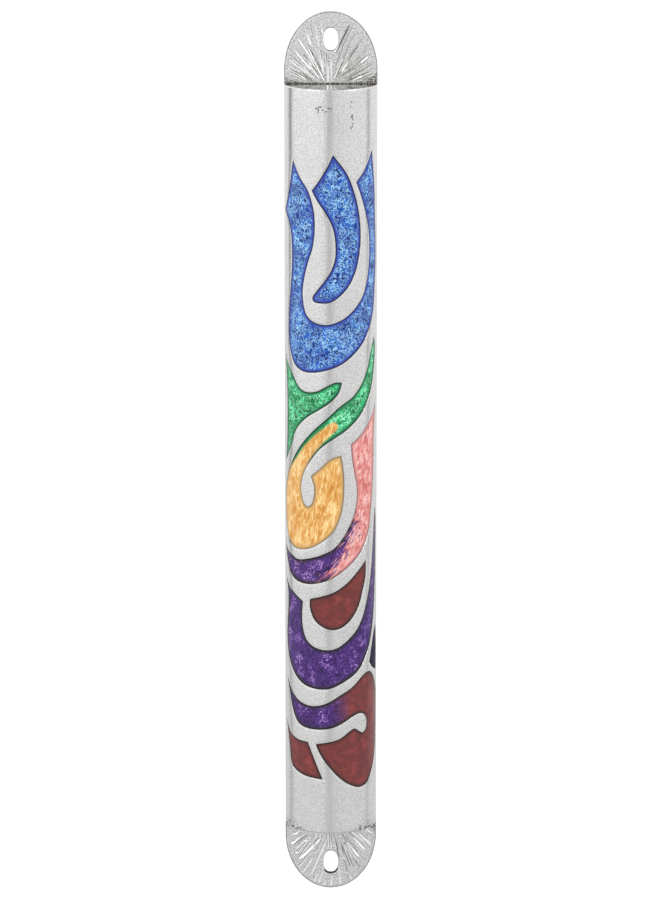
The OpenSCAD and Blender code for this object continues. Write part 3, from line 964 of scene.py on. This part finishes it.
def dent_specks(shader, where):
    """Factor of a few small dents just below the top of the body."""
    x, _, z = shader.split(where)
    near = []
    for middle_x, middle_z, half_x, half_z in DENTS:
        off_x = shader.math("DIVIDE", shader.math("SUBTRACT", x, middle_x), half_x)
        off_z = shader.math("DIVIDE", shader.math("SUBTRACT", z, middle_z), half_z)
        near.append(shader.math("LESS_THAN", shader.square_sum(off_x, off_z), 1.0))
    specks = shader.ramp(shader.cells(where, 2.2), (0.36, 0.95), (0.46, 0.0))
    return shader.math("MULTIPLY", shader.math("MAXIMUM", *near), specks)


def ground_material():
    """Stippled ground between the rays, dark along the solder line: painted shade in the corner at the end
    caps, and tarnish that widens towards the sides.
    """
    shader = Shader("stippled_ground")
    where = shader.stretch()
    specks = shader.noise(where, 3.0, 3, 0.65)
    dimples = shader.cells(where, 2.4)
    colour = shader.ramp(specks, (0.36, 0.46), (0.5, 0.84), (0.6, 1.0))
    x, _, z = shader.split(where)
    # Painted shade in the corner along the end caps, widening into tarnish towards the sides.
    above = shader.math("SUBTRACT", shader.math("ABSOLUTE", z), BODY_HALF)
    off_x = shader.math("MULTIPLY", shader.math("ABSOLUTE", shader.math("ADD", x, 0.5)), 0.1)
    ends = shader.math("POWER", off_x, 6.0)
    reach = shader.math("MULTIPLY_ADD", ends, 1.9, 0.3)
    joint_shade_and_tarnish = shader.math("LESS_THAN", above, reach)
    joint_shade_and_tarnish = shader.math("MULTIPLY", joint_shade_and_tarnish, shader.ramp(specks, (0.46, 1.0), (0.54, 0.15)))
    colour = shader.mix(joint_shade_and_tarnish, colour, (0.06, 0.05, 0.045))
    return shader.finish(colour, specks, 0.46, 0.3, (specks, 0.05), (dimples, 0.05), metallic=1.0)


def cut_material(name, low, high, rough):
    """Facet left by the graver, with fine chatter lines; also used for the painted shade on the plate's
    front bevel.
    """
    shader = Shader(name)
    lines = shader.noise(shader.stretch(5, 5, 0.5), 1.0, 2)
    colour = shader.ramp(lines, (0.3, low), (0.7, high))
    return shader.finish(colour, lines, rough + 0.06, rough, (lines, 0.01), metallic=1.0)


def polished_material():
    """Polished end wall with a dull film."""
    shader = Shader("polished_end")
    film = shader.noise(shader.stretch(), 0.8, 4)
    colour = shader.ramp(film, (0.3, seen(122, 120, 113)), (0.7, seen(176, 175, 169)))
    return shader.finish(colour, film, 0.1, 0.2, (film, 0.012), metallic=1.0)


def solder_and_shade_material(name, low, middle, high):
    """Old solder, and painted shade on the walls of the nail holes: dark, dull and rough, with a few bare
    spots.
    """
    shader = Shader(name)
    lumps = shader.noise(shader.stretch(), 1.7, 4, 0.7)
    colour = shader.ramp(lumps, (0.42, low), (0.6, middle), (0.75, high))
    return shader.finish(colour, lumps, 0.75, 0.45, (lumps, 0.12), metallic=0.6)


def panel_material():
    """Panel metal brushed lengthwise, with a few scratches and painted shade around the lower nail hole."""
    shader = Shader("brushed_panel")
    brush = shader.noise(shader.stretch(9, 9, 0.12), 1.0, 3, 0.6)
    scratch = shader.noise(shader.stretch(6, 6, 0.09, 3), 1.0, 2)
    marks = shader.ramp(scratch, (0.66, 0.0), (0.7, 1.0))
    colour = shader.mix(marks, shader.ramp(brush, (0.25, 0.46), (0.75, 0.62)), (0.68, 0.68, 0.69))
    # Painted shade on the panel where it shows through the lower nail hole.
    x, _, z = shader.split(shader.stretch())
    off_z = shader.math("ADD", z, SLOT_Z)
    hole_shade_on_panel = shader.ramp(shader.math("MULTIPLY", shader.square_sum(x, off_z), 0.1), (0.6, 0.9), (1.1, 0.0))
    colour = shader.mix(hole_shade_on_panel, colour, seen(80, 74, 66))
    return shader.finish(colour, brush, 0.42, 0.3, (marks, 0.01), (brush, 0.02), metallic=1.0)


def parchment_material():
    """Parchment: warm, matt and finely fibrous, with darker blotches."""
    shader = Shader("parchment")
    fibre = shader.noise(shader.stretch(2.5, 2.5, 0.6), 1.0, 5, 0.6)
    blotch = shader.noise(shader.stretch(), 0.12, 3)
    colour = shader.ramp(fibre, (0.3, seen(200, 180, 143)), (0.7, seen(230, 216, 186)))
    colour = shader.mix(shader.ramp(blotch, (0.45, 0.0), (0.75, 0.5)), colour, seen(188, 162, 124))
    return shader.finish(colour, fibre, 0.85, 0.7, (fibre, 0.04), subsurface_weight=0.08)


# ---- Enamels ----
# A glass is a function that returns (colour, height, band, line) for a shader: the pattern
# in the middle of a cell, its height, and the colours of the soft band and of the fine dark line
# that follow the cell's edge.
def stroked_glass(deep, middle, light, dark, band, line):
    """Translucent glass over chased metal: painted glints and painted shade of the chasing as light and
    dark squiggles, fading where the glass is deep.
    """
    def build(shader):
        where = shader.stretch()
        cloud = shader.ramp(shader.noise(where, 0.3, 2), (0.4, 0.0), (0.6, 1.0))
        wave = shader.noise(where, 0.95, 1.6, 0.55, 1.7)
        ridge = shader.math("ABSOLUTE", shader.math("SUBTRACT", wave, 0.5))
        groove = shader.math("ABSOLUTE", shader.math("SUBTRACT", wave, 0.41))
        # Light squiggles are painted glints, and dark squiggles painted shade, of the chased metal under
        # the glass.
        glint = shader.math("MULTIPLY", shader.ramp(ridge, (0.0, 1.0), (0.035, 0.7), (0.06, 0.0)),
                            shader.math("MULTIPLY_ADD", cloud, 0.5, 0.5))
        colour = shader.mix(cloud, deep, middle)
        colour = shader.mix(shader.ramp(groove, (0.0, 1.0), (0.04, 0.7), (0.065, 0.0)), colour, dark)
        return shader.mix(glint, colour, light), wave, band, line
    return build


def wispy_glass(deep, middle, light, spark, band, line):
    """Dark translucent glass with curling lighter wisps, and painted glints that make it bright in a few
    places.
    """
    def build(shader):
        where = shader.stretch()
        cloud = shader.noise(where, 0.35, 2)
        wave = shader.noise(where, 0.75, 2.5, 0.5, 1.8)
        ridge = shader.math("ABSOLUTE", shader.math("SUBTRACT", wave, 0.5))
        wisp = shader.ramp(ridge, (0.0, 0.9), (0.035, 0.3), (0.1, 0.0))
        # Painted glints of the metal under the glass, bright in a few places.
        bright = shader.math("MULTIPLY", shader.ramp(ridge, (0.0, 1.0), (0.03, 0.0)),
                             shader.ramp(cloud, (0.5, 0.0), (0.62, 1.0)))
        colour = shader.mix(shader.ramp(cloud, (0.4, 0.0), (0.6, 1.0)), deep, middle)
        colour = shader.mix(wisp, colour, light)
        return shader.mix(bright, colour, spark), wave, band, line
    return build


def streaked_glass(turn, curl, dark, middle, light, band, line):
    """Opaque glass laid in brush-like streaks that lean by turn degrees from the upright."""
    def build(shader):
        streak = shader.noise(shader.stretch(2.3, 2.3, 0.42, turn), 1.0, 3, 0.6, curl)
        drift = shader.math("SUBTRACT", shader.noise(shader.stretch(), 0.35, 2), 0.5)
        streak = shader.math("MULTIPLY_ADD", drift, 0.4, streak)
        colour = shader.ramp(streak, (0.36, dark), (0.48, middle), (0.62, light))
        return colour, streak, band, line
    return build


def cloudy_glass(dark, middle, light, band, line):
    """Nearly opaque glass, softly clouded, with a few warm patches."""
    def build(shader):
        cloud = shader.noise(shader.stretch(), 0.5, 6, 0.78)
        return shader.ramp(cloud, (0.36, dark), (0.52, middle), (0.68, light)), cloud, band, line
    return build


def blended_glass(first, second, turn, fray, low, high):
    """Two glasses in one cell; the tint attribute runs from 0 (first) to 1 (second)."""
    def build(shader):
        edge_noise = shader.noise(shader.stretch(2.6, 2.6, 0.22, turn), 1.0, 2, 0.5, 0.4)
        fringe = shader.math("SUBTRACT", edge_noise, 0.5)
        shifted = shader.math("MULTIPLY_ADD", fringe, fray, shader.attribute("tint"))
        factor = shader.ramp(shifted, (low, 0.0), (high, 1.0))
        a, b = first(shader), second(shader)
        return [shader.mix(factor, one, other) for one, other in zip(a, b)]
    return build


def enamel_material(name, glass, relief, rough=0.4, coat=0.4):
    """Glossy enamel: the pattern, a calmer band along the edge and a fine dark line at the wall, partly the
    glass's deeper colour and partly painted shade of the wall.
    """
    shader = Shader(name)
    colour, height, band, line = glass(shader)
    edge = shader.attribute("edge")
    colour = shader.mix(shader.ramp(edge, (0.45, 0.0), (1.0, 1.0)), band, colour)
    # The fine dark line is partly the glass's deeper colour at the wall and partly painted shade of the
    # wall.
    colour = shader.mix(shader.ramp(edge, (0.0, 1.0), (0.2, 0.95), (0.42, 0.0)), colour, line)
    return shader.finish(colour, height, rough - 0.05, rough + 0.05, (height, relief),
                         specular_ior_level=0.1, coat_weight=coat, coat_roughness=0.06)


# ---- Where the colours of two-tone cells meet, 0 (first colour) to 1 (second colour) ----
def smooth_step(low, high, value):
    t = np.clip((value - low) / (high - low), 0, 1)
    return t * t * (3 - 2 * t)


def swirl_tint(s, z):
    """Orange, with a green arm that the orange enters as a blunt tongue."""
    spine = np.array([(0.55, 9.05), (-2.55, 6.4), (-4.95, 3.85), (-6.4, 1.8), (-7.3, -0.6)])
    widths = np.array([0.95, 1.15, 1.3, 1.45, 2.6])
    tongue = np.zeros_like(s)
    for k in range(len(spine) - 1):
        along = spine[k + 1] - spine[k]
        off_s, off_z = s - spine[k, 0], z - spine[k, 1]
        t = np.clip((off_s * along[0] + off_z * along[1]) / (along @ along), 0, 1)
        gap = np.hypot(off_s - t * along[0], off_z - t * along[1])
        width = widths[k] + (widths[k + 1] - widths[k]) * t
        tongue = np.maximum(tongue, smooth_step(0.6, -0.5, gap - width))
    lower_end = smooth_step(1.6, -1.4, z)
    bulb = smooth_step(-2.0, -3.0, z - (6 + 0.95 * s))
    return np.maximum(tongue, np.maximum(lower_end, bulb))


def crescent_tint(s, z):
    """Pink above and to the right, purple on the inner side of the lower bend."""
    across = 0.841 * (s - 5.8) - 0.541 * (z + 13)
    return smooth_step(4.0, -3.0, across) * smooth_step(-7.5, -15.5, z + 0.4 * (s - 5))


def hook_tint(s, z):
    """Purple in the upper left of the hook, maroon elsewhere."""
    return smooth_step(-0.6, 5.0, s + 0.12 * (z + 52) + 8 * (z < -59.9))


# ---- Stage ----
def build_camera():
    """The photograph's view: a long lens, a little above the middle of the case."""
    elevation = math.radians(11.95)
    distance = 987.1
    data = bpy.data.cameras.new("camera")
    data.sensor_fit = "VERTICAL"
    data.sensor_height = 36
    data.lens = 181.03
    data.clip_end = 50
    camera = add_object("camera", data)
    aim = Vector((-0.17, 0, 1.5)) * MM
    camera.location = aim + Vector((0, -math.cos(elevation), math.sin(elevation))) * distance * MM
    camera.rotation_euler = (math.pi / 2 - elevation, 0, 0)
    bpy.context.scene.camera = camera


def build_world():
    """White studio: a greyer wall behind the camera, two dark gaps at the sides, a dark ceiling."""
    world = bpy.data.worlds.new("studio")
    bpy.context.scene.world = world
    world.use_nodes = True
    nodes = Nodes(world.node_tree, "Generated")
    x, y, z = nodes.split(nodes.where)
    azimuth = nodes.math("ARCTAN2", x, nodes.math("MULTIPLY", y, -1.0))
    turn = nodes.math("MULTIPLY_ADD", azimuth, 1 / (2 * math.pi), 0.5)
    # Azimuth in degrees from the camera's side, positive to the right, and the wall's brightness
    walls = ((-180, 0.86), (-127, 0.88), (-123, 0.0), (-118, 0.0), (-115, 0.66), (-105, 0.98),
             (-40, 1.0), (-15, 0.96), (-6, 0.5), (0, 0.5), (7, 0.82), (40, 0.88), (103, 0.92), (105.5, 0.0),
             (108.5, 0.0), (111, 0.92), (180, 0.86))
    wall = nodes.ramp(turn, *[(degrees / 360 + 0.5, level) for degrees, level in walls])
    height = nodes.math("MULTIPLY_ADD", z, 0.5, 0.5)
    # Brightness at some heights, and how far it covers the walls: less contrast and a greyer band low
    # down, bright above, dark overhead. Height is half the sine of the elevation, plus a half.
    layers = ((0.63, (0.36, 0.75), (0.43, 0.1)), (0.5, (0.2, 1.0), (0.3, 0.0)),
              (1.05, (0.56, 0.0), (0.66, 1.0), (0.94, 1.0), (0.965, 0.0)),
              (0.12, (0.94, 0.0), (0.975, 1.0)))
    for level, *cover in layers:
        wall = nodes.mix(nodes.ramp(height, *cover), wall, (level,) * 3)
    sky = nodes.node("Background", Color=wall)
    nodes.node("OutputWorld", Surface=sky.outputs[0])


def build_floor():
    """Plain white floor, just below the lowest place that the back panel slides to."""
    shader = Shader("white_floor")
    tone = shader.noise(shader.stretch(), 0.004, 2)
    white = shader.surface(
        base_color=shader.ramp(tone, (0.3, 0.80), (0.7, 0.82)),
        roughness=0.9,
        specular_ior_level=0.0,
        emission_color=(1, 1, 1, 1),
        emission_strength=0.42,
    )
    half = 6000
    z = PLATE_LOW[2] - PANEL_TRAVEL - 2
    corners = [(-half, -half, z), (half, -half, z), (half, half, z), (-half, half, z)]
    floor = make_object("floor", corners, [(0, 1, 2, 3)], [white])
    floor.visible_glossy = False


def add_softbox(name, place_at, size, power, aim=(0, 0, 0)):
    """Rectangular light; its place and size are in metres, its power in watts."""
    data = bpy.data.lights.new(name, "AREA")
    data.shape = "RECTANGLE"
    data.size, data.size_y = size
    data.energy = power
    light = add_object(name, data)
    light.location = place_at
    light.rotation_euler = (Vector(aim) - Vector(place_at)).to_track_quat("-Z", "Y").to_euler()


# ---- Build ----
bpy.context.scene.view_settings.view_transform = "Standard"
build_camera()
build_world()
build_floor()
add_softbox("key", place_at=(-0.7, -0.7, 0.7), size=(0.5, 0.5), power=1.7)
add_softbox("fill", place_at=(0.8, -0.5, 0.5), size=(0.4, 0.6), power=0.8)

satin = silver_material("satin_silver", 0.945, 0.12, True)
plain = silver_material("plain_silver", 0.84, 0.28, False)
body_grid = BodyGrid()
grid_faces = body_grid.faces()
build_shell(body_grid, grid_faces, satin)

blue = stroked_glass(seen(22, 60, 156), seen(38, 102, 194), seen(164, 214, 246), seen(8, 24, 92),
                     seen(52, 74, 170), seen(20, 22, 60))
green = stroked_glass(seen(10, 134, 70), seen(30, 184, 110), seen(160, 252, 204), seen(0, 64, 36),
                      seen(26, 128, 78), seen(10, 44, 30))
purple = wispy_glass(seen(46, 25, 78), seen(64, 32, 110), seen(100, 64, 150), seen(214, 172, 236),
                     seen(52, 40, 64), seen(18, 13, 24))
orange = streaked_glass(-12, 1.1, seen(200, 134, 56), seen(222, 166, 90), seen(246, 214, 152),
                        seen(204, 160, 98), seen(140, 120, 92))
pink = streaked_glass(-24, 0.8, seen(198, 102, 98), seen(222, 140, 135), seen(244, 196, 190),
                      seen(208, 132, 128), seen(140, 104, 104))
maroon = cloudy_glass(seen(98, 48, 46), seen(117, 53, 51), seen(152, 66, 63),
                      seen(88, 46, 45), seen(36, 22, 22))

blue_enamel = enamel_material("blue_enamel", blue, 0.05)
purple_enamel = enamel_material("purple_enamel", purple, 0.02)
maroon_enamel = enamel_material("maroon_enamel", maroon, 0.01)
shaded_purple = wispy_glass(seen(30, 20, 44), seen(36, 24, 56), seen(60, 42, 84), seen(96, 72, 120),
                            seen(30, 24, 36), seen(14, 10, 18))
ENAMELS = [
    ("blue_ring", blue_enamel, "translucent_blue_enamel", None),
    ("blue_flame", blue_enamel, "translucent_blue_enamel", None),
    ("green_leaf", enamel_material("green_enamel", green, 0.05), "translucent_green_enamel", None),
    ("green_orange_swirl",
     enamel_material("green_orange_enamel", blended_glass(green, orange, -35, 0.25, 0.2, 0.8), 0.04),
     "green_to_orange_enamel", swirl_tint),
    ("pink_purple_crescent",
     enamel_material("pink_purple_enamel", blended_glass(pink, purple, -42, 2.2, 0.3, 0.7), 0.03),
     "pink_to_purple_enamel", crescent_tint),
    ("purple_bowl", purple_enamel, "translucent_purple_enamel", None),
    ("maroon_crescent", maroon_enamel, "maroon_enamel", None),
    ("purple_sliver", enamel_material("side_purple_enamel", shaded_purple, 0.02, 0.5, 0.0),
     "translucent_purple_enamel", None),
    ("purple_maroon_hook",
     enamel_material("purple_maroon_enamel", blended_glass(purple, maroon, 0, 0.3, 0.0, 1.0), 0.015),
     "purple_to_maroon_enamel", hook_tint),
    ("maroon_leaf", maroon_enamel, "maroon_enamel", None),
]
for cell_name, glass, slot_name, tint_rule in ENAMELS:
    build_enamel(body_grid, grid_faces, cell_name, glass, tint_rule)

build_back_plate([
    plain,
    ground_material(),
    cut_material("bright_cut", 0.88, 0.98, 0.14),
    cut_material("shaded_cut", seen(120, 119, 116), seen(150, 149, 146), 0.3),
    # Painted shade for the walls of the nail holes.
    solder_and_shade_material("hole_painted_shade", seen(58, 52, 46), seen(96, 88, 80), seen(140, 132, 122)),
    # Painted shade for the plate's front bevel.
    cut_material("bevel_painted_shade", seen(130, 129, 126), seen(176, 175, 172), 0.16),
])
solder = solder_and_shade_material("old_solder", seen(70, 64, 56), seen(108, 101, 92), seen(186, 181, 172))
cap_materials = [satin, polished_material(), solder]
build_end_cap(1, cap_materials, "top_end_cap")
build_end_cap(-1, cap_materials, "bottom_end_cap")
build_scroll(parchment_material())

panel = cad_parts["sliding_back_panel"]
panel.data.materials.clear()
panel.data.materials.append(panel_material())
